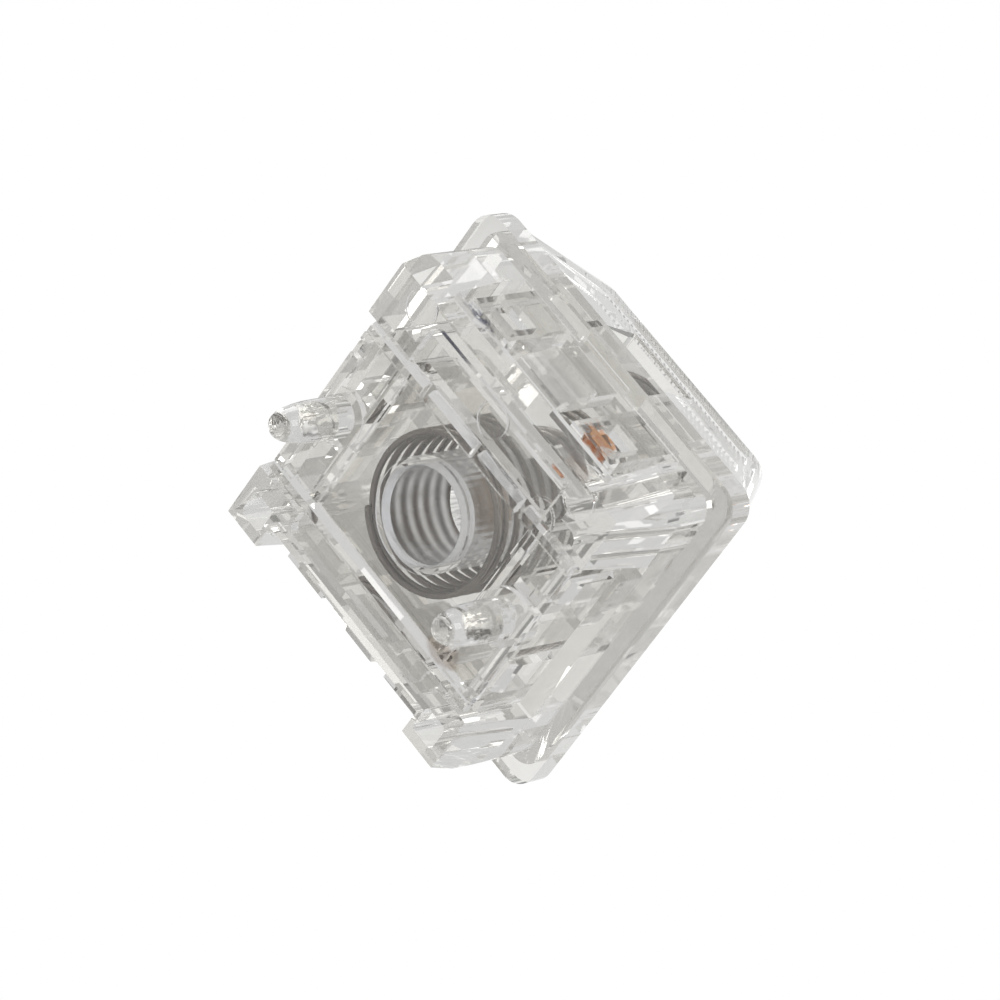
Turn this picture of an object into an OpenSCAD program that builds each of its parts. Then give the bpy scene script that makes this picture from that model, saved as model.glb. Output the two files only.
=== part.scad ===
// Clear keyboard switch with a sliding stem, in millimetres.
// The origin is on the switch's axis, on the plane where its flange rests on the keyboard's plate.
// +Z points to the keycap, the locating pins stand along X and the latches are on the two Y sides.

/* [Plate and board] */
// Side of the square hole in the plate
plate_hole = 14; // [13.8:0.05:14.3]
// Play between the housing and that hole, on each side
plate_gap = 0.025; // [0.01:0.005:0.06]
// Thickness of the plate
plate_t = 1.5; // [1.2:0.1:1.8]
// Height of the plate's top face over the circuit board
board_drop = 5; // [4.7:0.1:5.6]

/* [Lower housing] */
// How far the square flange stands past the plate's hole
flange_lip = 0.8; // [0.6:0.05:1.2]
// Thickness of the flange
flange_t = 1; // [0.8:0.1:1.4]
// Radius of the flange's corners
flange_r = 1; // [0.6:0.1:1.6]
// How much each side draws in from the plate's underside down to the foot
body_taper = 0.45; // [0.2:0.05:0.5]
// How far the two X sides stand back between the corner columns
side_back = 0.35; // [0.2:0.05:0.4]
// Wall of the mouldings
wall = 0.8; // [0.7:0.05:0.9]
// Thickness of the floor
floor_t = 0.5; // [0.4:0.05:0.7]
// How far the rim and ribs stand below the floor
rim_h = 0.4; // [0.2:0.05:0.6]
// Thickness of the ribs and of the walls round the spring
rib_t = 0.45; // [0.35:0.05:0.55]
// Width of the four corner columns
column_w = 2.5; // [2.3:0.1:2.7]
// Distance of the two long floor ribs from the axis
rib_y = 3.62; // [3.5:0.02:3.8]
// Width of those ribs at their root
rib_w = 0.7; // [0.5:0.05:0.75]
// Width of the rim at the foot of the two Y sides
foot_rim = 0.6; // [0.5:0.05:0.7]
// How far the foot of the +Y side stands back from the recess above it
foot_step = 0.45; // [0.3:0.05:0.5]

/* [Locating pins] */
// Distance of each pin from the axis
pin_x = 5.08; // [4.9:0.02:5.2]
// Diameter of a pin
pin_d = 1.6; // [1.4:0.05:1.8]
// How far the pins stand out below the board's face
pin_h = 3.3; // [2.6:0.1:3.8]
// Length of the rounded tip
pin_tip = 2.2; // [1:0.1:2.3]
// Diameter of the flat at the tip
pin_flat = 0.75; // [0.4:0.05:0.9]
// Diameter of the boss that carries a pin
pin_boss_d = 2.3; // [2:0.1:2.5]

/* [Guide tube and spring] */
// Bore of the guide tube
tube_bore = 3.75; // [3.5:0.05:3.8]
// Wall of the guide tube
tube_wall = 0.32; // [0.28:0.02:0.36]
// Outer diameter of the spring
spring_od = 6.3; // [6.1:0.05:6.4]
// Diameter of the spring's wire
wire_d = 0.25; // [0.18:0.01:0.26]
// Number of turns
spring_turns = 11.5; // [9:0.5:11.5]
// Where the lower wire end lies, as an angle from +X
spring_start = 138; // [0:1:359]
// Room between the spring and the walls round it
well_gap = 0.65; // [0.5:0.05:0.75]

/* [Stem] */
// Travel of the stem
travel = 4; // [3.4:0.1:4]
// Play of the stem's pole in the tube, on each side
pole_gap = 0.06; // [0.03:0.01:0.1]
// Play of the stem in the upper housing's opening, on each side
stem_gap = 0.15; // [0.1:0.01:0.2]
// Length of the stem's block along X
block_x = 7; // [6.8:0.1:7.2]
// Width of the stem's block along Y
block_y = 5.8; // [5.6:0.1:6]
// Height of the spring's upper seat over the plate
seat_z = 3; // [2.9:0.05:3.1]
// Thickness of the stem's shoulder
shoulder_t = 0.95; // [0.8:0.05:1.05]
// How far the block stands out of the upper housing
block_proud = 0.4; // [0.2:0.1:0.8]
// Width over the arms of the keycap cross
cross_w = 4; // [3.9:0.02:4.1]
// Thickness of the cross arm along X
arm_x_t = 1.31; // [1.2:0.01:1.4]
// Thickness of the cross arm along Y
arm_y_t = 1.17; // [1.05:0.01:1.3]
// Height of the cross
cross_h = 3.6; // [3.2:0.1:4]
// Width of the stem's side rails
rail_w = 1.6; // [1.2:0.1:1.9]
// Thickness of the side rails
rail_t = 0.7; // [0.5:0.05:0.75]

/* [Magnet] */
// Diameter of the magnet
magnet_d = 2.4; // [2:0.05:2.5]
// Length of the magnet
magnet_l = 3; // [2:0.1:3.6]
// Glue gap round the magnet
glue_gap = 0.015; // [0.01:0.005:0.03]
// How far the magnet sits inside the end of the pole
magnet_sink = 0.2; // [0.1:0.05:0.4]

/* [Upper housing] */
// Height of its top face over the plate
top_z = 6.2; // [6.1:0.05:6.5]
// Length of the top face along X
top_x = 10.6; // [10.4:0.1:11]
// Width of the top face along Y
top_y = 12; // [11.6:0.1:12.4]
// Thickness of the top
top_t = 1; // [0.8:0.05:1.1]
// How far the base rim stands in from the flange's edge
rim_in = 0.5; // [0.3:0.05:0.6]
// Height of the base rim
rim_t = 0.8; // [0.6:0.05:1]
// Radius of the upper housing's corners
top_r = 0.9; // [0.7:0.05:1.1]
// Wall of the collar round the stem
collar_t = 0.6; // [0.5:0.05:0.7]
// Width of the light window in one side
light_w = 3.4; // [2.8:0.1:3.6]

/* [Latches] */
// Distance of each latch leg from the middle of its side
leg_x = 3.1; // [3:0.05:3.2]
// Width of a leg
leg_w = 2.2; // [2:0.05:2.3]
// Thickness of a leg
leg_t = 0.85; // [0.7:0.05:0.9]
// How far the legs reach below the plate's top face
leg_drop = 3.4; // [3.2:0.1:3.8]
// Play of a leg in its recess
leg_gap = 0.06; // [0.04:0.01:0.1]
// Width of the catch window in a leg
catch_w = 1.3; // [1.1:0.05:1.4]
// Height of the catch window
catch_h = 1.3; // [1.1:0.05:1.4]
// Height of the bar below the catch window
catch_bar = 0.8; // [0.7:0.05:0.9]
// Width of the recess that takes the legs, along X
recess_w = 9.4; // [9.2:0.1:9.6]
// Depth of that recess
recess_d = 1.05; // [1:0.01:1.1]
// Width of the tongue that snaps under the plate
tongue_w = 2.4; // [2:0.1:2.6]
// How far the tongue's nose stands out past the plate's hole
tongue_nose = 0.2; // [0.1:0.02:0.3]

/* [Hidden] */

clear_gap = 0.2;
stop_gap = 0.04;
relief = 0.15;
cut = 0.1;
mark_deep = 0.08;
mark_d = 1.5;
mark_ring = 0.1;
near_mark = [3.83, -3.95];
thin = 0.01;
notch_w = 0.7;
notch_deep = 2.4;
end_notch_h = 0.9;
pin_notches = [[-1.6, 0.5], [2.7, 0.3]];
low_blocks = [[-2.6, 1.1], [1.9, 1.5]];
block_low = 0.4;
block_bend = 1;
rib_gap = 0.3;
rib_gaps = [-2.7, 0.35, 3.1];
tube_proud = 0.15;

body_w = plate_hole - 2 * plate_gap;
flange_w = plate_hole + 2 * flange_lip;
rim_w = flange_w - 2 * rim_in;
foot_w = body_w - 2 * body_taper;
foot_z = -board_drop;
under_z = foot_z + rim_h;
floor_z = under_z + floor_t;
recess_y = body_w / 2 - recess_d;
recess_low = -leg_drop - clear_gap;
back_y = recess_y - foot_step;

shoulder_top = seat_z + shoulder_t;
collar_z = shoulder_top + stop_gap;
block_top = top_z + block_proud;
pocket_top = top_z - top_t + clear_gap;
pole_d = tube_bore - 2 * pole_gap;
pole_end = foot_z + cut + travel;
tube_od = tube_bore + 2 * tube_wall;
tube_top = pocket_top - travel - clear_gap;
pocket_d = tube_od + 2 * clear_gap;

well_w = spring_od + 2 * well_gap;
well_top = seat_z - travel - clear_gap;
rail_in = well_w / 2 + rib_t + clear_gap;
rail_out = rail_in + rail_t;
rail_end = floor_z + clear_gap + travel;
cavity_x = 2 * (rail_out + 1.5 * clear_gap);
cavity_y = 2 * (recess_y - wall);
cavity_r = 0.4;

shoulder_x = block_x + 2 * collar_t + clear_gap;
shoulder_y = block_y + 2 * collar_t;

leg_in = recess_y + leg_gap;
leg_out = leg_in + leg_t;
catch_low = -leg_drop + catch_bar;
rim_mid = (rim_w - wall) / 2;

// Shared shapes

// Square plate with round corners, standing on z0
module round_plate(x, y, r, z0, z1) {
    translate([0, 0, z0])
        linear_extrude(z1 - z0)
            round_square(x, y, r);
}

// Rectangle with true arcs at its corners
module round_square(x, y, r) {
    square([x - 2 * r, y], center = true);
    square([x, y - 2 * r], center = true);
    for (sx = [-1, 1], sy = [-1, 1])
        translate([sx * (x / 2 - r), sy * (y / 2 - r)])
            circle(r, $fn = 32);
}

// Trapezium in the XZ plane carried along Y
module wedge_side(w_low, w_high, z_low, z_high, len) {
    rotate([90, 0, 0])
        linear_extrude(len, center = true)
            polygon([
                [-w_low / 2, z_low], [w_low / 2, z_low],
                [w_high / 2, z_high], [-w_high / 2, z_high]
            ]);
}

// Block whose four sides draw in, with round upright corners
module drawn_block(w_low, w_high, z_low, z_high, r) {
    far = 2 * max(w_low, w_high);
    intersection() {
        wedge_side(w_low, w_high, z_low, z_high, far);
        rotate([0, 0, 90])
            wedge_side(w_low, w_high, z_low, z_high, far);
        round_plate(max(w_low, w_high), max(w_low, w_high), r, z_low, z_high);
    }
}

// Profile in the YZ plane, given as [y, z] points, carried along X
module x_profile(points, width) {
    rotate([90, 0, 90])
        linear_extrude(width, center = true)
            polygon(points);
}

// Repeats its child on both Y sides
module both_y() {
    for (turn = [0, 180])
        rotate([0, 0, turn])
            children();
}

// Cuboid between two heights, centred on x and y
module bar(x, y, wx, wy, z0, z1) {
    translate([x - wx / 2, y - wy / 2, z0])
        cube([wx, wy, z1 - z0]);
}

// Ring that an ejector pin leaves on a face
module pin_mark(x, y, z) {
    translate([x, y, z - cut])
        difference() {
            cylinder(h = cut + mark_deep, d = mark_d, $fn = 48);
            translate([0, 0, -cut])
                cylinder(h = 3 * cut + mark_deep, d = mark_d - 2 * mark_ring, $fn = 48);
        }
}

// Lower housing

// Round-nosed pin below its boss
module locating_pin() {
    tip_z = foot_z - pin_h;
    nose_z = tip_z + pin_tip;
    steps = 6;
    flat_r = pin_flat / 2;
    full_r = pin_d / 2;
    nose = [
        for (i = [0:steps])
            [flat_r + (full_r - flat_r) * sin(90 * i / steps),
             tip_z + pin_tip * (1 - cos(90 * i / steps))]
    ];
    translate([pin_x, 0, floor_z])
        mirror([0, 0, 1])
            cylinder(h = floor_z - nose_z, d = pin_d, $fn = 48);
    translate([pin_x, 0, 0])
        rotate_extrude($fn = 48)
            polygon(concat([[0, tip_z]], nose, [[0, nose_z]]));
    translate([pin_x, 0, foot_z + cut])
        cylinder(h = floor_z - foot_z - cut, d = pin_boss_d, $fn = 48);
}

// Cavity with a column left standing in each corner
module cavity(z0, z1) {
    round_plate(cavity_x, body_w - 2 * column_w, cavity_r, z0, z1);
    round_plate(body_w - 2 * column_w, cavity_y, cavity_r, z0, z1);
}

// Springy tongue that holds the plate
module plate_tongue() {
    face_y = body_w / 2;
    nose_z = -plate_t - plate_gap;
    root_z = -leg_drop + clear_gap;
    x_profile([
        [recess_y - cut, root_z - wall], [recess_y + cut, root_z - wall],
        [face_y - cut, root_z - clear_gap],
        [face_y + tongue_nose, nose_z - clear_gap], [face_y + tongue_nose, nose_z],
        [face_y, nose_z], [face_y, -clear_gap],
        [face_y - wall + clear_gap, -clear_gap], [face_y - wall + clear_gap, root_z],
        [recess_y - cut, root_z]
    ], tongue_w);
}

// Wedge that a leg of the upper housing snaps over
module leg_catch() {
    reach = leg_t + leg_gap - clear_gap / 4;
    translate([leg_x, 0, 0])
        x_profile([
            [recess_y - cut, catch_low + stop_gap],
            [recess_y + reach, catch_low + stop_gap],
            [recess_y + reach, catch_low + 2 * clear_gap],
            [recess_y, catch_low + catch_h - clear_gap],
            [recess_y - cut, catch_low + catch_h - clear_gap]
        ], catch_w - clear_gap);
}

// Upright guides for one side rail of the stem
module rail_guide() {
    guide_y = rail_w / 2 + stem_gap;
    for (side = [-1, 1])
        bar((rail_in + cavity_x / 2 + cut) / 2, side * (guide_y + rib_t / 2),
            cavity_x / 2 + cut - rail_in, rib_t, floor_z - cut, flange_t);
}

// Walls that stand on the floor round the spring, with a relief in each corner
module spring_well() {
    outer = well_w + 2 * rib_t;
    difference() {
        round_plate(outer, outer, cavity_r + rib_t, floor_z - cut, well_top);
        round_plate(well_w, well_w, cavity_r, floor_z - 2 * cut, well_top + cut);
        for (turn = [0, 90])
            rotate([0, 0, turn])
                bar(0, 0, well_w / 3, outer + 2 * cut, floor_z + travel / 3, well_top + cut);
    }
}

// Ribs below the floor: two under the well's X walls, and two long ones, of which one is in lengths
module floor_ribs() {
    low_z = foot_z + rim_h / 2;
    for (side = [-1, 1])
        bar(side * (well_w + rib_t) / 2, 0, rib_t, 2 * rib_y, low_z, under_z + cut);
    difference() {
        for (side = [-1, 1])
            translate([0, side * rib_y, 0])
                x_profile([
                    [-rib_w / 2, under_z + cut], [-rib_w / 2, low_z],
                    [-rib_w / 5, foot_z], [rib_w / 5, foot_z],
                    [rib_w / 2, low_z], [rib_w / 2, under_z + cut]
                ], foot_w - wall);
        for (x = rib_gaps)
            bar(x, -rib_y, rib_gap, 2 * rib_w, foot_z - cut, under_z);
    }
}

// Pocket that cores a corner column from below
module column_pocket() {
    pocket_w = column_w - 2 * rib_t - body_taper;
    centre = foot_w / 2 - rib_t - pocket_w / 2;
    translate([centre, centre, 0])
        round_plate(pocket_w, pocket_w, cavity_r / 2, foot_z - cut, -plate_t);
}

// Cuts in the lower edge of one X side, next to the corner columns and the pin
module side_notches() {
    end_y = (body_w - 2 * column_w - wall - notch_w) / 2;
    for (notch = concat([[-end_y, end_notch_h], [end_y, end_notch_h]], pin_notches))
        bar(foot_w / 2, notch[0], notch_deep, notch_w, foot_z - cut, foot_z + notch[1]);
}

// Sloped blocks low on one X side
module side_blocks() {
    face_x = foot_w / 2;
    near_x = face_x - side_back - cut;
    for (block = low_blocks)
        translate([0, block[0], 0])
            rotate([90, 0, 0])
                linear_extrude(block[1], center = true)
                    polygon([
                        [near_x, foot_z + block_low], [face_x - side_back / 2, foot_z + block_low],
                        [face_x, foot_z + block_bend],
                        [face_x, -plate_t - wall], [near_x, -plate_t - rib_t]
                    ]);
}

// Room for one leg, through the flange and down the side
module leg_slot() {
    for (side = [-1, 1])
        bar(side * leg_x, (recess_y + leg_out + leg_gap) / 2, leg_w + clear_gap,
            leg_out + leg_gap - recess_y, -cut, flange_t + cut);
}

module lower_housing() {
    color("gainsboro")
        difference() {
            union() {
                difference() {
                    union() {
                        round_plate(flange_w, flange_w, flange_r, 0, flange_t);
                        drawn_block(foot_w, body_w, foot_z, -plate_t, flange_r);
                        round_plate(body_w, body_w, flange_r, -plate_t - cut, 0);
                    }
                    cavity(floor_z, flange_t + cut);
                    translate([0, (back_y - foot_w / 2) / 2, 0])
                        round_plate(foot_w - 2 * column_w, back_y + foot_w / 2 - 2 * foot_rim,
                                    cavity_r, foot_z - cut, under_z);
                    round_plate(foot_w - 2 * wall, foot_w - 2 * column_w,
                                cavity_r, foot_z - cut, under_z);
                    pin_mark(0, -(foot_w / 2 - foot_rim + rib_y + rib_w / 2) / 2, under_z);
                    pin_mark(near_mark[0], near_mark[1], under_z);
                    bar(0, back_y + recess_d, recess_w, 2 * recess_d, foot_z - cut, floor_z - cut);
                    bar(0, recess_y + recess_d, recess_w, 2 * recess_d, floor_z - 2 * cut, recess_low + cut);
                    both_y() {
                        bar(0, recess_y + recess_d, recess_w, 2 * recess_d, recess_low, 0);
                        bar(0, recess_y + recess_d / 2, recess_w, recess_d, -cut, relief);
                        bar(0, recess_y + recess_d, tongue_w + 2 * clear_gap,
                            2 * (tongue_nose + relief), -cut, relief);
                        leg_slot();
                        bar(foot_w / 2 - side_back + body_taper, 0, 2 * body_taper,
                            body_w - 2 * column_w - wall, foot_z - cut, -plate_t);
                        side_notches();
                    }
                    for (turn = [0, 90])
                        rotate([0, 0, turn])
                            column_pocket();
                }
                both_y() {
                    plate_tongue();
                    leg_catch();
                    mirror([1, 0, 0])
                        leg_catch();
                    rail_guide();
                    locating_pin();
                    side_blocks();
                }
                spring_well();
                floor_ribs();
                translate([0, 0, under_z - tube_proud])
                    cylinder(h = tube_top - under_z + tube_proud, d = tube_od, $fn = 96);
            }
            translate([0, 0, foot_z - cut])
                cylinder(h = tube_top - foot_z + 2 * cut, d = tube_bore, $fn = 96);
            for (side = [-1, 1])
                pin_mark(side * (recess_w / 2 + clear_gap / 2), -recess_y, foot_z);
        }
}

// Upper housing

// Solid between the base rim and the top face, with rounded edges
module upper_shape(grow, z_top) {
    r = max(top_r + grow, 0.2);
    high_r = r / 2;
    base_half = rim_w / 2 + grow - r;
    hull() {
        for (sx = [-1, 1], sy = [-1, 1]) {
            translate([sx * base_half, sy * base_half, flange_t + rim_t])
                cylinder(h = thin, r = r, $fn = 24);
            translate([sx * (top_x / 2 + grow - r), sy * (top_y / 2 + grow - r), z_top - high_r])
                low_dome(r, high_r);
        }
    }
}

// Low dome: the rounded top of an upright corner
module low_dome(r, h) {
    steps = 4;
    rotate_extrude($fn = 24)
        polygon(concat([[0, 0]], [
            for (i = [0:steps])
                [r - h + h * cos(90 * i / steps), h * sin(90 * i / steps)]
        ], [[0, h]]));
}

// Leg with its catch window
module latch_leg() {
    difference() {
        union() {
            bar(leg_x, (leg_in + leg_out) / 2, leg_w, leg_t, -leg_drop, flange_t + rim_t);
            bar(leg_x, (leg_in + rim_mid) / 2, leg_w, rim_mid - leg_in, flange_t, flange_t + rim_t);
        }
        bar(leg_x, (leg_in + leg_out) / 2, catch_w, leg_t + 2 * cut, catch_low, catch_low + catch_h);
        translate([leg_x, 0, 0])
            x_profile([
                [leg_in - cut, -leg_drop - cut], [leg_in + leg_t / 2, -leg_drop - cut],
                [leg_in - cut, -leg_drop + catch_bar / 2]
            ], leg_w + 2 * cut);
    }
}

// Opening for the stem, widened at the top
module stem_opening() {
    x = block_x + 2 * stem_gap;
    y = block_y + 2 * stem_gap;
    round_plate(x, y, cavity_r, collar_z - cut, top_z + cut);
    intersection() {
        wedge_side(x, x + 4 * clear_gap, top_z - clear_gap, top_z + clear_gap, 2 * y);
        rotate([0, 0, 90])
            wedge_side(y, y + 4 * clear_gap, top_z - clear_gap, top_z + clear_gap, 2 * x);
    }
}

module upper_housing() {
    color("whitesmoke")
        difference() {
            union() {
                difference() {
                    union() {
                        round_plate(rim_w, rim_w, top_r, flange_t, flange_t + rim_t);
                        upper_shape(0, top_z);
                    }
                    upper_shape(-wall, top_z - top_t);
                    round_plate(rim_w - 2 * wall, rim_w - 2 * wall, top_r / 2,
                                flange_t - cut, flange_t + rim_t + thin);
                }
                round_plate(block_x + 2 * stem_gap + 2 * collar_t,
                            block_y + 2 * stem_gap + 2 * collar_t,
                            cavity_r + collar_t, collar_z, top_z - top_t + cut);
                both_y() {
                    latch_leg();
                    mirror([1, 0, 0])
                        latch_leg();
                }
            }
            stem_opening();
            bar(0, -rim_w / 2, light_w, rim_w / 2, flange_t + rim_t, top_z - 2 * top_t);
        }
}

// Stem

// Keycap cross with a lead-in at its top
module keycap_cross() {
    lead = clear_gap;
    for (arm = [[cross_w, arm_x_t], [arm_y_t, cross_w]]) {
        bar(0, 0, arm[0], arm[1], block_top - cut, block_top + cross_h - lead);
        hull() {
            bar(0, 0, arm[0], arm[1], block_top + cross_h - 2 * lead, block_top + cross_h - lead);
            bar(0, 0, arm[0] - lead, arm[1] - lead, block_top + cross_h - lead, block_top + cross_h);
        }
    }
}

module stem() {
    color("lightgray")
        difference() {
            union() {
                difference() {
                    union() {
                        round_plate(block_x, block_y, cavity_r - stem_gap, seat_z, block_top);
                        round_plate(shoulder_x, shoulder_y, cavity_r, seat_z, shoulder_top);
                        bar(0, 0, 2 * rail_out, rail_w, seat_z, shoulder_top);
                        for (side = [-1, 1])
                            bar(side * (rail_in + rail_out) / 2, 0, rail_t, rail_w,
                                rail_end, shoulder_top);
                    }
                    translate([0, 0, seat_z - cut])
                        cylinder(h = pocket_top - seat_z + cut, d = pocket_d, $fn = 96);
                }
                translate([0, 0, pole_end])
                    cylinder(h = pocket_top - pole_end + cut, d = pole_d, $fn = 96);
                keycap_cross();
            }
            translate([0, 0, pole_end - cut])
                cylinder(h = magnet_sink + magnet_l + glue_gap + cut,
                         d = magnet_d + 2 * glue_gap, $fn = 64);
        }
}

module magnet() {
    edge = 0.12;
    r = magnet_d / 2;
    low = pole_end + magnet_sink;
    color("silver")
        rotate_extrude($fn = 64)
            polygon([
                [0, low], [r - edge, low], [r, low + edge],
                [r, low + magnet_l - edge], [r - edge, low + magnet_l], [0, low + magnet_l]
            ]);
}

// Return spring

wire_sides = 8;
turn_steps = 24;
end_gap = 0.02;
tip_share = 0.45;
near_share = 0.85;
near_tip = 0.6;
end_pitch = wire_d + end_gap;
spring_r = (spring_od - wire_d) / 2;
spring_rise = seat_z - floor_z - wire_d - 2 * end_gap;
open_pitch = (spring_rise - 2 * end_pitch) / (spring_turns - 2);

// Height of the wire's centre after t turns: one closed turn at each end
function coil_z(t) =
    t < 1 ? t * end_pitch
    : t > spring_turns - 1 ? spring_rise - (spring_turns - t) * end_pitch
    : end_pitch + (t - 1) * open_pitch;

// Round section of the wire after t turns, drawn in at the two ends
function wire_ring(t, share) = [
    for (k = [0:wire_sides - 1])
        let (
            turn = spring_start - 360 * t,
            side = 360 * k / wire_sides,
            r = spring_r + share * wire_d / 2 * cos(side)
        )
        [r * cos(turn), r * sin(turn),
         floor_z + end_gap + wire_d / 2 + coil_z(t) + share * wire_d / 2 * sin(side)]
];

module return_spring() {
    last = ceil(spring_turns * turn_steps);
    rounding = wire_d / 2 / (2 * PI * spring_r);
    rings = concat(
        [wire_ring(-rounding, tip_share), wire_ring(-rounding * near_tip, near_share)],
        [for (i = [0:last]) wire_ring(spring_turns * i / last, 1)],
        [wire_ring(spring_turns + rounding * near_tip, near_share),
         wire_ring(spring_turns + rounding, tip_share)]
    );
    n = len(rings);
    sides = wire_sides;
    color("dimgray")
        polyhedron(
            points = [for (ring = rings) each ring],
            faces = concat(
                [[for (k = [0:sides - 1]) k]],
                [
                    for (i = [0:n - 2], k = [0:sides - 1])
                        [i * sides + k, (i + 1) * sides + k,
                         (i + 1) * sides + (k + 1) % sides, i * sides + (k + 1) % sides]
                ],
                [[for (k = [0:sides - 1]) (n - 1) * sides + sides - 1 - k]]
            ));
}

lower_housing();
upper_housing();
stem();
magnet();
return_spring();
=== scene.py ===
import math

import bmesh
import bpy
import numpy as np
from mathutils import Matrix, Vector


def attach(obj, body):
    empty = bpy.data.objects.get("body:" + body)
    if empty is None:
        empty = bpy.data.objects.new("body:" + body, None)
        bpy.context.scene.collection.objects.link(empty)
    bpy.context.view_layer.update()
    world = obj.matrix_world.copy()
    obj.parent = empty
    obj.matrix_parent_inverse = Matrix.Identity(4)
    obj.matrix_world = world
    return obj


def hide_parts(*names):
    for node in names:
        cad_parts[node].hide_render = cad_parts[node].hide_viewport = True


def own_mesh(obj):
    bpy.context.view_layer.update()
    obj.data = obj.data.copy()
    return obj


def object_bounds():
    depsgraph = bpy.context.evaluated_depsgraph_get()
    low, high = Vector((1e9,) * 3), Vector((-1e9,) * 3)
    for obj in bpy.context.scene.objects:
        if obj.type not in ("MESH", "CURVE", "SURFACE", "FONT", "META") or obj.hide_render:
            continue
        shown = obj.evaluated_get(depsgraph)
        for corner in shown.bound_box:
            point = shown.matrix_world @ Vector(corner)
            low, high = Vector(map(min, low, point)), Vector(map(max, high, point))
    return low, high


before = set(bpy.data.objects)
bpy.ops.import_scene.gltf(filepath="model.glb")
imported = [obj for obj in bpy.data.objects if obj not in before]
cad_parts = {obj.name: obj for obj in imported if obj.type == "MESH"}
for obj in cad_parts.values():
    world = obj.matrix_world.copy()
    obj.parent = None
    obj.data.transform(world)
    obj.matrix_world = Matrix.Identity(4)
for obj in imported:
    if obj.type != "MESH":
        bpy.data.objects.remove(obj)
cadLow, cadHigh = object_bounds()
mm = 0.001
print("frame loaded:", ", ".join(sorted(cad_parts)))

scene = bpy.context.scene
scene.view_settings.view_transform = "Standard"

# Light that bounces on inside the clear plastic past the last step comes back as a soft grey
lightSteps = {"most": 7, "restGlow": 0.34}
scene.cycles.max_bounces = lightSteps["most"]
scene.cycles.glossy_bounces = lightSteps["most"]
scene.cycles.transmission_bounces = lightSteps["most"]

# The camera looks up at the underside, rolled so that the keycap side points right
viewFrom = {
    "back": (0.3749, -0.5188, -0.7683),    # from the switch towards the camera
    "up": (-0.7179, -0.6868, 0.1135),      # up in the picture
    "distance": 200 * mm,
    "aimRight": -0.12 * mm,
    "aimUp": 0.04 * mm,
    "pixelsPerMm": 26.98,                  # at the switch's origin
    "pictureWidth": 1000,                  # in pixels
    "sensor": 36,                          # in mm
    "nearest": 0.01,                       # this and the next in metres
    "farthest": 5,
}


def makeCamera(v):
    back = Vector(v["back"]).normalized()
    right = Vector(v["up"]).cross(back).normalized()
    up = back.cross(right)
    data = bpy.data.cameras.new("camera")
    data.sensor_width = v["sensor"]
    data.lens = v["pixelsPerMm"] / mm * v["distance"] * v["sensor"] / v["pictureWidth"]
    data.clip_start = v["nearest"]
    data.clip_end = v["farthest"]
    cam = bpy.data.objects.new("camera", data)
    cam.location = back * v["distance"] + right * v["aimRight"] + up * v["aimUp"]
    turn = np.array([right, up, back]).T
    cam.rotation_mode = "QUATERNION"
    cam.rotation_quaternion = Matrix(turn.tolist()).to_quaternion()
    scene.collection.objects.link(cam)
    scene.camera = cam


makeCamera(viewFrom)
print("camera placed")


# Shader helpers

def newMaterial(name):
    mat = bpy.data.materials.new(name)
    mat.use_nodes = True
    mat.node_tree.nodes.clear()
    return mat


# A node with its settings, and with each input either linked to a socket or set to a value
def put(tree, kind, inputs=None, **settings):
    node = tree.nodes.new("ShaderNode" + kind)
    for key, value in settings.items():
        setattr(node, key, value)
    for key, value in (inputs or {}).items():
        if isinstance(value, bpy.types.NodeSocket):
            tree.links.new(value, node.inputs[key])
        else:
            node.inputs[key].default_value = value
    return node


def maths(tree, operation, first, second):
    return put(tree, "Math", {0: first, 1: second}, operation=operation).outputs[0]


def rampOf(tree, fac, stops):
    node = put(tree, "ValToRGB", {"Fac": fac})
    for stop, (place, grey) in zip(node.color_ramp.elements, stops):
        stop.position = place
        stop.color = (grey, grey, grey, 1)
    return node.outputs["Color"]


def mixColour(tree, fac, first, second):
    node = put(tree, "Mix", {"Factor": fac}, data_type="RGBA")
    for socket, value in ((node.inputs["A"], first), (node.inputs["B"], second)):
        if isinstance(value, bpy.types.NodeSocket):
            tree.links.new(value, socket)
        else:
            socket.default_value = (*value, 1)
    return node.outputs[2]


# A node group with its named sockets; each material sets every input itself
def groupWith(name, ins, outs):
    tree = bpy.data.node_groups.new(name, "ShaderNodeTree")
    for way, sockets in (("INPUT", ins), ("OUTPUT", outs)):
        for label, kind in sockets.items():
            tree.interface.new_socket(label, in_out=way, socket_type="NodeSocket" + kind)
    return tree, tree.nodes.new("NodeGroupInput"), tree.nodes.new("NodeGroupOutput")


# Slow flow of a moulded face, plus fine haze: a height, a roughness and a tone

face = {
    "flowDetail": 2.0,
    "flowWarp": 0.6,
    "hazeScale": 1400.0,
    "hazeDetail": 4.0,
    "hazeStops": [(0.5, 0.0), (0.78, 1.0)],
}


def makeFaceGroup():
    tree, gin, gout = groupWith(
        "mouldedFace",
        {"Vector": "Vector", "Flow Scale": "Float", "Haze": "Float", "Smooth": "Float"},
        {"Height": "Float", "Roughness": "Float", "Tone": "Float"},
    )
    flow = put(tree, "TexNoise", {"Vector": gin.outputs["Vector"], "Scale": gin.outputs["Flow Scale"],
                                  "Detail": face["flowDetail"], "Distortion": face["flowWarp"]})
    haze = put(tree, "TexNoise", {"Vector": gin.outputs["Vector"], "Scale": face["hazeScale"],
                                  "Detail": face["hazeDetail"]})
    patches = rampOf(tree, haze.outputs["Fac"], face["hazeStops"])
    rough = maths(tree, "MULTIPLY", patches, gin.outputs["Haze"])
    total = maths(tree, "ADD", rough, gin.outputs["Smooth"])
    tree.links.new(flow.outputs["Fac"], gout.inputs["Height"])
    tree.links.new(total, gout.inputs["Roughness"])
    tree.links.new(haze.outputs["Fac"], gout.inputs["Tone"])
    return tree


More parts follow.
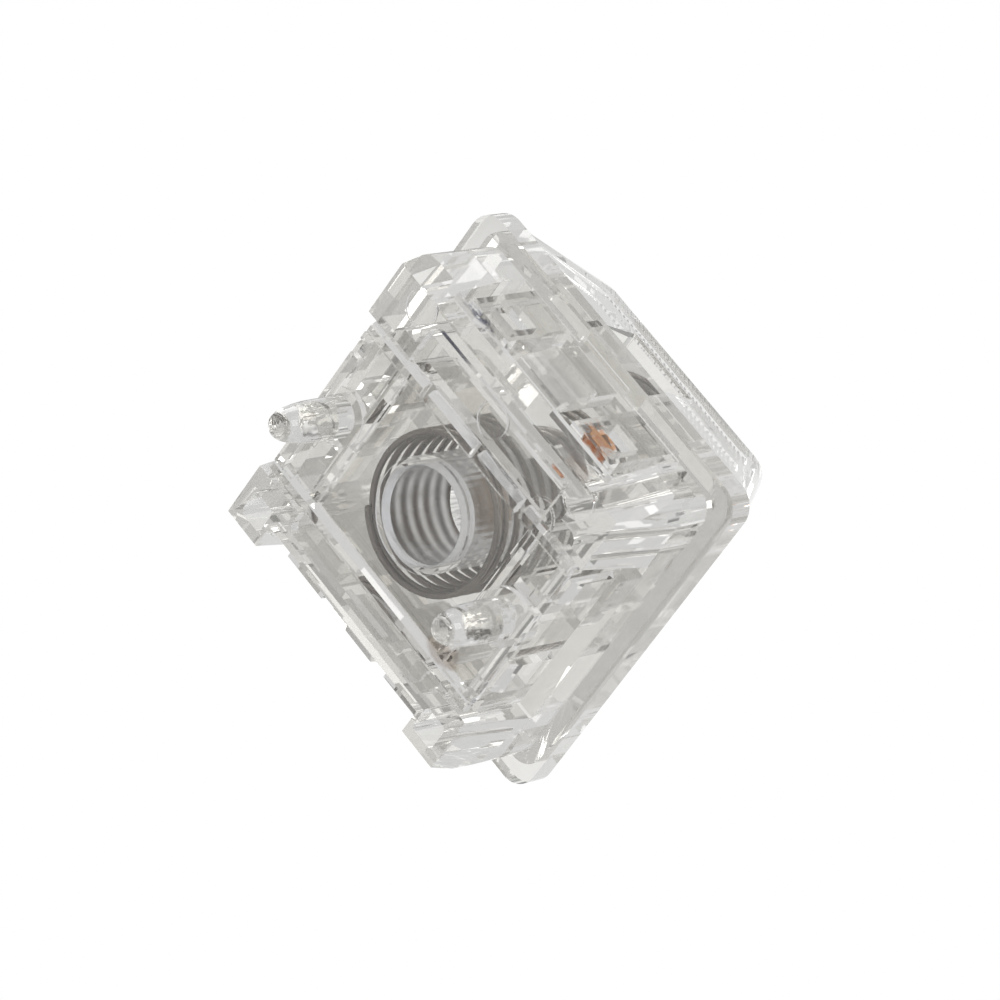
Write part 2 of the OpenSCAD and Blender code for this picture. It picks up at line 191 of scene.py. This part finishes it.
# Blot with a ragged edge inside a box of half sizes, centred on a point: a mask

blot = {
    "scale": 2600.0,
    "detail": 5.0,
    "warp": 1.2,
    "edge": [(0.8, 1.0), (1.0, 0.0)],
}


def makeBlotGroup():
    tree, gin, gout = groupWith(
        "raggedBlot",
        {"Vector": "Vector", "Centre": "Vector", "Half Size": "Vector", "Raggedness": "Float"},
        {"Mask": "Float"},
    )
    ragged = put(tree, "TexNoise", {"Vector": gin.outputs["Vector"], "Scale": blot["scale"],
                                    "Detail": blot["detail"], "Distortion": blot["warp"]})
    away = put(tree, "VectorMath", {0: gin.outputs["Vector"], 1: gin.outputs["Centre"]},
               operation="SUBTRACT")
    share = put(tree, "VectorMath", {0: away.outputs[0], 1: gin.outputs["Half Size"]},
                operation="DIVIDE")
    reach = put(tree, "VectorMath", {0: share.outputs[0]}, operation="LENGTH")
    rough = maths(tree, "MULTIPLY", ragged.outputs["Fac"], gin.outputs["Raggedness"])
    total = maths(tree, "ADD", reach.outputs["Value"], rough)
    tree.links.new(rampOf(tree, total, blot["edge"]), gout.inputs["Mask"])
    return tree


# Inside of an upright cylinder round the axis: a mask

def makeZoneGroup():
    tree, gin, gout = groupWith(
        "roundZone",
        {"Vector": "Vector", "Radius": "Float"},
        {"Mask": "Float"},
    )
    flat = put(tree, "VectorMath", {0: gin.outputs["Vector"], 1: (1, 1, 0)}, operation="MULTIPLY")
    reach = put(tree, "VectorMath", {0: flat.outputs[0]}, operation="LENGTH")
    inside = maths(tree, "LESS_THAN", reach.outputs["Value"], gin.outputs["Radius"])
    tree.links.new(inside, gout.inputs["Mask"])
    return tree


# Grain of drawn or plated metal with dull patches: a tone, a roughness and a height

drawn = {
    "grainDetail": 3.0,
    "patchScale": 260.0,
    "patchDetail": 2.0,
    "dullness": [(0.3, 0.16), (0.75, 0.36)],
    "strength": 0.3,
}


def makeDrawnGroup():
    tree, gin, gout = groupWith(
        "drawnWire",
        {"Vector": "Vector", "Scale": "Float"},
        {"Tone": "Float", "Roughness": "Float", "Height": "Float"},
    )
    grain = put(tree, "TexNoise", {"Vector": gin.outputs["Vector"], "Scale": gin.outputs["Scale"],
                                   "Detail": drawn["grainDetail"]})
    patches = put(tree, "TexNoise", {"Vector": gin.outputs["Vector"], "Scale": drawn["patchScale"],
                                     "Detail": drawn["patchDetail"]})
    rough = rampOf(tree, patches.outputs["Fac"], drawn["dullness"])
    tree.links.new(patches.outputs["Fac"], gout.inputs["Tone"])
    tree.links.new(rough, gout.inputs["Roughness"])
    tree.links.new(grain.outputs["Fac"], gout.inputs["Height"])
    return tree


# Fine slanting ridges along the top edge of the upper moulding's -Y side: a height

ridges = {
    "low": 5.2 * mm,
    "side": -5.6 * mm,
    "slant": math.radians(35),
    "scale": 1500.0,
    "warp": 3.0,
    "detail": 2.0,
    "depth": 0.02 * mm,
    "strength": 0.5,
}


def makeRidgeGroup():
    tree, gin, gout = groupWith(
        "edgeRidges",
        {"Vector": "Vector", "Low": "Float", "Side": "Float", "Scale": "Float"},
        {"Height": "Float"},
    )
    parts = put(tree, "SeparateXYZ", {"Vector": gin.outputs["Vector"]})
    slant = put(tree, "VectorRotate", {"Vector": gin.outputs["Vector"], "Axis": (0, 1, 0),
                                       "Angle": ridges["slant"]})
    strokes = put(tree, "TexWave", {"Vector": slant.outputs[0], "Scale": gin.outputs["Scale"],
                                    "Distortion": ridges["warp"], "Detail": ridges["detail"]},
                  bands_direction="X")
    high = maths(tree, "GREATER_THAN", parts.outputs["Z"], gin.outputs["Low"])
    near = maths(tree, "LESS_THAN", parts.outputs["Y"], gin.outputs["Side"])
    zone = maths(tree, "MULTIPLY", high, near)
    tree.links.new(maths(tree, "MULTIPLY", zone, strokes.outputs["Fac"]), gout.inputs["Height"])
    return tree


mouldedFace = makeFaceGroup()
raggedBlot = makeBlotGroup()
drawnWire = makeDrawnGroup()
roundZone = makeZoneGroup()
edgeRidges = makeRidgeGroup()


# Clear plastic of the three mouldings

clearPlastic = {
    "index": 1.56,
    "lower": {"colour": (0.87, 0.863, 0.842), "shade": (0.765, 0.758, 0.735)},
    "upper": {"colour": (0.87, 0.863, 0.842), "shade": (0.765, 0.758, 0.735)},
    "stem": {"colour": (0.83, 0.823, 0.802), "shade": (0.75, 0.743, 0.722)},
    "flowScale": 260.0,
    "haze": 0.05,
    "smooth": 0.015,
    "bumpDepth": 0.01 * mm,
    "bumpStrength": 0.25,
    "borePaintedShade": (0.68, 0.69, 0.72),    # painted shade inside the guide tube: a darker, bluer tint, where the plastic is also hazier
    "boreRadius": 1.9 * mm,
    "boreHaze": 0.2,
}
# Marks and painted shade on the two housing mouldings, in mm: the ochre stain, a near-black blue-grey
# strip of painted shade, and a tan patch
marksAndPaintedShade = [
    {"colour": (0.6, 0.17, 0.04), "centre": (3.02, -6.75, -2.7), "half": (1.9, 1.6, 1.6), "rag": 1.1},
    # painted shade: this near-black blue-grey strip is painted into the plastic's tint
    {"colour": (0.07, 0.075, 0.11), "centre": (-3.4, -6.5, -3.55), "half": (2.1, 0.6, 0.5), "rag": 0.8},
    {"colour": (0.42, 0.36, 0.31), "centre": (3.95, 3.2, -4.6), "half": (1.1, 0.9, 0.5), "rag": 0.3},
]


def clearMaterial(name, tones, markedAndShaded=False, ridged=False, bored=False):
    mat = newMaterial(name)
    tree = mat.node_tree
    place = put(tree, "TexCoord").outputs["Object"]
    surface = put(tree, "Group", {"Vector": place, "Flow Scale": clearPlastic["flowScale"],
                                  "Haze": clearPlastic["haze"], "Smooth": clearPlastic["smooth"]},
                  node_tree=mouldedFace)
    tint = mixColour(tree, surface.outputs["Tone"], tones["colour"], tones["shade"])
    rough = surface.outputs["Roughness"]
    if bored:
        tube = put(tree, "Group", {"Vector": place, "Radius": clearPlastic["boreRadius"]},
                   node_tree=roundZone)
        # painted shade: inside the guide tube the tint turns darker and bluer, and the roughness rises
        tint = mixColour(tree, tube.outputs["Mask"], tint, clearPlastic["borePaintedShade"])
        haze = maths(tree, "MULTIPLY", tube.outputs["Mask"], clearPlastic["boreHaze"])
        rough = maths(tree, "ADD", rough, haze)
    # each blot mixes its colour into the tint: the stain and the tan patch as marks, the dark strip as
    # painted shade
    for blotPaint in marksAndPaintedShade if markedAndShaded else []:
        spot = put(tree, "Group", {"Vector": place, "Centre": [c * mm for c in blotPaint["centre"]],
                                   "Half Size": [h * mm for h in blotPaint["half"]],
                                   "Raggedness": blotPaint["rag"]}, node_tree=raggedBlot)
        tint = mixColour(tree, spot.outputs["Mask"], tint, blotPaint["colour"])
    bump = put(tree, "Bump", {"Height": surface.outputs["Height"], "Distance": clearPlastic["bumpDepth"],
                              "Strength": clearPlastic["bumpStrength"]})
    if ridged:
        strokes = put(tree, "Group", {"Vector": place, "Low": ridges["low"], "Side": ridges["side"],
                                      "Scale": ridges["scale"]}, node_tree=edgeRidges)
        bump = put(tree, "Bump", {"Height": strokes.outputs["Height"], "Distance": ridges["depth"],
                                  "Strength": ridges["strength"], "Normal": bump.outputs["Normal"]})
    path = put(tree, "LightPath")
    last = maths(tree, "GREATER_THAN", path.outputs["Ray Depth"], lightSteps["most"] - 0.5)
    rest = maths(tree, "MULTIPLY", last, lightSteps["restGlow"])
    shader = put(tree, "BsdfPrincipled", {
        "Base Color": tint, "Roughness": rough, "IOR": clearPlastic["index"],
        "Transmission Weight": 1.0, "Normal": bump.outputs["Normal"],
        "Emission Color": (1, 1, 1, 1), "Emission Strength": rest})
    put(tree, "OutputMaterial", {"Surface": shader.outputs[0]})
    return mat


# Metals, with the grain's scale per metre and its depth

metals = {
    "springSteel": {"light": (0.36, 0.335, 0.315), "dark": (0.2, 0.185, 0.175),
                    "scale": 1500.0, "depth": 0.004 * mm},
    "nickel": {"light": (0.85, 0.72, 0.58), "dark": (0.6, 0.49, 0.4),
               "scale": 700.0, "depth": 0.006 * mm},
}


def metalMaterial(name, metal):
    mat = newMaterial(name)
    tree = mat.node_tree
    place = put(tree, "TexCoord").outputs["Object"]
    grain = put(tree, "Group", {"Vector": place, "Scale": metal["scale"]}, node_tree=drawnWire)
    colour = mixColour(tree, grain.outputs["Tone"], metal["light"], metal["dark"])
    bump = put(tree, "Bump", {"Height": grain.outputs["Height"], "Distance": metal["depth"],
                              "Strength": drawn["strength"]})
    shader = put(tree, "BsdfPrincipled", {
        "Base Color": colour, "Roughness": grain.outputs["Roughness"], "Metallic": 1.0,
        "Normal": bump.outputs["Normal"]})
    put(tree, "OutputMaterial", {"Surface": shader.outputs[0]})
    return mat


lowerPlastic = clearMaterial("lowerPlastic", clearPlastic["lower"], markedAndShaded=True, bored=True)
upperPlastic = clearMaterial("upperPlastic", clearPlastic["upper"], markedAndShaded=True, ridged=True)
stemPlastic = clearMaterial("stemPlastic", clearPlastic["stem"])
springSteel = metalMaterial("springSteel", metals["springSteel"])
nickel = metalMaterial("nickel", metals["nickel"])
print("materials made")


# Mouldings: the CAD solid's faces, merged and flattened to their true outlines, smooth where they curve

moulding = {
    "weld": 0.002 * mm,
    "flatAngle": math.radians(2),
    "seatGap": 0.02 * mm,              # hair of air where the upper moulding sits on the flange
    "flangeTop": 1 * mm,
    "curveSides": 4,                   # faces with more sides or a larger area are flat,
    "curveArea": 1.5 * mm * mm,        # and the rest may be part of a curve
    "curveAngle": math.radians(25),
}


def mouldingCopy(node, name, mat, body, seat=None):
    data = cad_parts[node].data.copy()
    data.materials.clear()
    piece = bpy.data.objects.new(name, data)
    scene.collection.objects.link(piece)
    bm = bmesh.new()
    bm.from_mesh(data)
    bmesh.ops.remove_doubles(bm, verts=bm.verts, dist=moulding["weld"])
    bmesh.ops.dissolve_limit(bm, angle_limit=moulding["flatAngle"], verts=bm.verts, edges=bm.edges,
                             use_dissolve_boundaries=False)
    for vert in bm.verts:
        if seat is not None and abs(vert.co.z - seat) < moulding["weld"]:
            vert.co.z += moulding["seatGap"]
    for side in bm.faces:
        small = side.calc_area() < moulding["curveArea"]
        side.smooth = small and len(side.verts) <= moulding["curveSides"]
    for edge in bm.edges:
        edge.smooth = edge.calc_face_angle(math.pi) < moulding["curveAngle"]
    bm.to_mesh(data)
    bm.free()
    if "custom_normal" in data.attributes:
        data.attributes.remove(data.attributes["custom_normal"])
    data.materials.append(mat)
    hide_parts(node)
    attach(piece, body)


mouldingCopy("lower_housing", "lowerMoulding", lowerPlastic, "housing")
mouldingCopy("upper_housing", "upperMoulding", upperPlastic, "housing", moulding["flangeTop"])
mouldingCopy("stem", "stemMoulding", stemPlastic, "stem")
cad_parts["magnet"].data.materials.clear()
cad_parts["magnet"].data.materials.append(nickel)
print("mouldings and magnet made")


# Return spring: round wire wound left-handed, closed at both ends, with rounded wire tips; sizes in mm

spring = {
    "outer": 6.3,
    "wire": 0.25,
    "turns": 11.5,
    "start": 138,          # degrees from +X to the lower wire end
    "foot": -4.1,
    "top": 3.0,
    "endGap": 0.02,
    "stepsPerTurn": 72,
    "sides": 14,
    "tipSteps": 4,
    "tipSize": 0.06,       # the wire's end face, as a share of its full radius
    "keep": 3.1 / 7.1,     # its length with the stem down, as a share of the length at rest
}


# The wire's centre runs at coilR round the axis while its height climbs by the pitch, which is close at
# both ends, and each ring of the wire is a circle of radius wireR, smaller towards a tip
def makeSpring(sp):
    wireR = sp["wire"] / 2
    coilR = sp["outer"] / 2 - wireR
    endPitch = sp["wire"] + sp["endGap"]
    rise = sp["top"] - sp["foot"] - sp["wire"] - 2 * sp["endGap"]
    tipTurn = wireR / (2 * np.pi * coilR)
    body = np.linspace(0, sp["turns"], int(sp["turns"] * sp["stepsPerTurn"]) + 1)
    tip = np.sin(np.linspace(0, np.pi / 2, sp["tipSteps"], endpoint=False))
    turn = np.concatenate([-tipTurn * (1 - tip), body, (sp["turns"] + tipTurn * (1 - tip))[::-1]])
    tipRound = np.sqrt(1 - (1 - tip) ** 2)
    size = np.concatenate([tipRound, np.ones(len(body)), tipRound[::-1]])
    size = np.maximum(size, sp["tipSize"])
    height = np.interp(turn, [-1, 0, 1, sp["turns"] - 1, sp["turns"], sp["turns"] + 1],
                       [-endPitch, 0, endPitch, rise - endPitch, rise, rise + endPitch])
    angle = np.radians(sp["start"]) - 2 * np.pi * turn
    around = 2 * np.pi * np.arange(sp["sides"]) / sp["sides"]
    reach = coilR + wireR * size[:, None] * np.cos(around)
    rings = np.stack([
        reach * np.cos(angle)[:, None],
        reach * np.sin(angle)[:, None],
        sp["foot"] + sp["endGap"] + wireR + height[:, None] + wireR * size[:, None] * np.sin(around),
    ], axis=-1)
    count, sides = rings.shape[:2]
    start = np.arange(count - 1)[:, None] * sides
    here = start + np.arange(sides)
    beside = start + (np.arange(sides) + 1) % sides
    quads = np.stack([here, here + sides, beside + sides, beside], axis=-1).reshape(-1, 4)
    faces = quads.tolist()
    faces.append(list(range(sides)))
    faces.append(list(range((count - 1) * sides, count * sides))[::-1])
    mesh = bpy.data.meshes.new("springWire")
    mesh.from_pydata((rings.reshape(-1, 3) * mm).tolist(), [], faces)
    mesh.polygons.foreach_set("use_smooth", np.ones(len(faces), bool))
    mesh.materials.append(springSteel)
    piece = bpy.data.objects.new("springWire", mesh)
    scene.collection.objects.link(piece)
    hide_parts("return_spring")
    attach(piece, "housing")
    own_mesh(piece)


makeSpring(spring)
print("spring made")


# Light and surroundings

studio = {
    "white": 1.0,
    "dark": 0.0,
    "cloudScale": 2.4,                # the surroundings are slow clouds of dark and white
    "cloudDetail": 1.0,
    "darkUpTo": 0.42,
    "whiteFrom": 0.53,
    "glassWhite": 0.3,                # how far the background whitens what glass and metal see
    "floorColour": (0.86, 0.86, 0.85),
    "floorGlow": 0.8,                 # the floor's brightness as glass and metal see it
    "floorSize": 0.5,
    "lamps": [
        {"name": "keyLamp", "at": (0.10, -0.16, 0.0), "size": 0.12, "power": 0.12},
        {"name": "sideLamp", "at": (-0.14, -0.08, 0.06), "size": 0.10, "power": 0.08},
        {"name": "topLamp", "at": (0.02, 0.05, 0.2), "size": 0.12, "power": 0.08},
    ],
}


def makeWorld():
    world = bpy.data.worlds.new("studio")
    world.use_nodes = True
    scene.world = world
    tree = world.node_tree
    tree.nodes.clear()
    direction = put(tree, "TexCoord").outputs["Generated"]
    clouds = put(tree, "TexNoise", {"Vector": direction, "Scale": studio["cloudScale"],
                                    "Detail": studio["cloudDetail"]})
    grey = rampOf(tree, clouds.outputs["Fac"], [(studio["darkUpTo"], studio["dark"]),
                                                (studio["whiteFrom"], studio["white"])])
    path = put(tree, "LightPath")
    through = maths(tree, "MAXIMUM", path.outputs["Is Glossy Ray"], path.outputs["Is Transmission Ray"])
    partly = maths(tree, "MULTIPLY", through, studio["glassWhite"])
    whiten = maths(tree, "MAXIMUM", partly, path.outputs["Is Camera Ray"])
    colour = mixColour(tree, whiten, grey, (1, 1, 1))
    back = put(tree, "Background", {"Color": colour})
    put(tree, "OutputWorld", {"Surface": back.outputs[0]})


# The floor lies under the pins and can be looked through from below
def makeFloor():
    half = studio["floorSize"] / 2
    low = cadLow.z
    mesh = bpy.data.meshes.new("floor")
    corners = [(-half, -half, low), (half, -half, low), (half, half, low), (-half, half, low)]
    mesh.from_pydata(corners, [], [(0, 1, 2, 3)])
    floor = bpy.data.objects.new("floor", mesh)
    scene.collection.objects.link(floor)
    mat = newMaterial("floorPaint")
    tree = mat.node_tree
    geometry = put(tree, "NewGeometry")
    path = put(tree, "LightPath")
    matt = put(tree, "BsdfDiffuse", {"Color": (*studio["floorColour"], 1)})
    glow = put(tree, "Emission", {"Color": (1, 1, 1, 1), "Strength": studio["floorGlow"]})
    seen = maths(tree, "MAXIMUM", path.outputs["Is Glossy Ray"], path.outputs["Is Transmission Ray"])
    top = put(tree, "MixShader", {"Fac": seen, 1: matt.outputs[0], 2: glow.outputs[0]})
    under = put(tree, "BsdfTransparent")
    both = put(tree, "MixShader", {"Fac": geometry.outputs["Backfacing"], 1: top.outputs[0],
                                   2: under.outputs[0]})
    put(tree, "OutputMaterial", {"Surface": both.outputs[0]})
    mesh.materials.append(mat)


def makeLamps():
    for lamp in studio["lamps"]:
        data = bpy.data.lights.new(lamp["name"], "AREA")
        data.size = lamp["size"]
        data.energy = lamp["power"]
        obj = bpy.data.objects.new(lamp["name"], data)
        obj.location = lamp["at"]
        obj.rotation_mode = "QUATERNION"
        obj.rotation_quaternion = Vector(lamp["at"]).to_track_quat("Z", "Y")
        scene.collection.objects.link(obj)


makeWorld()
makeFloor()
makeLamps()
print("light and floor made")
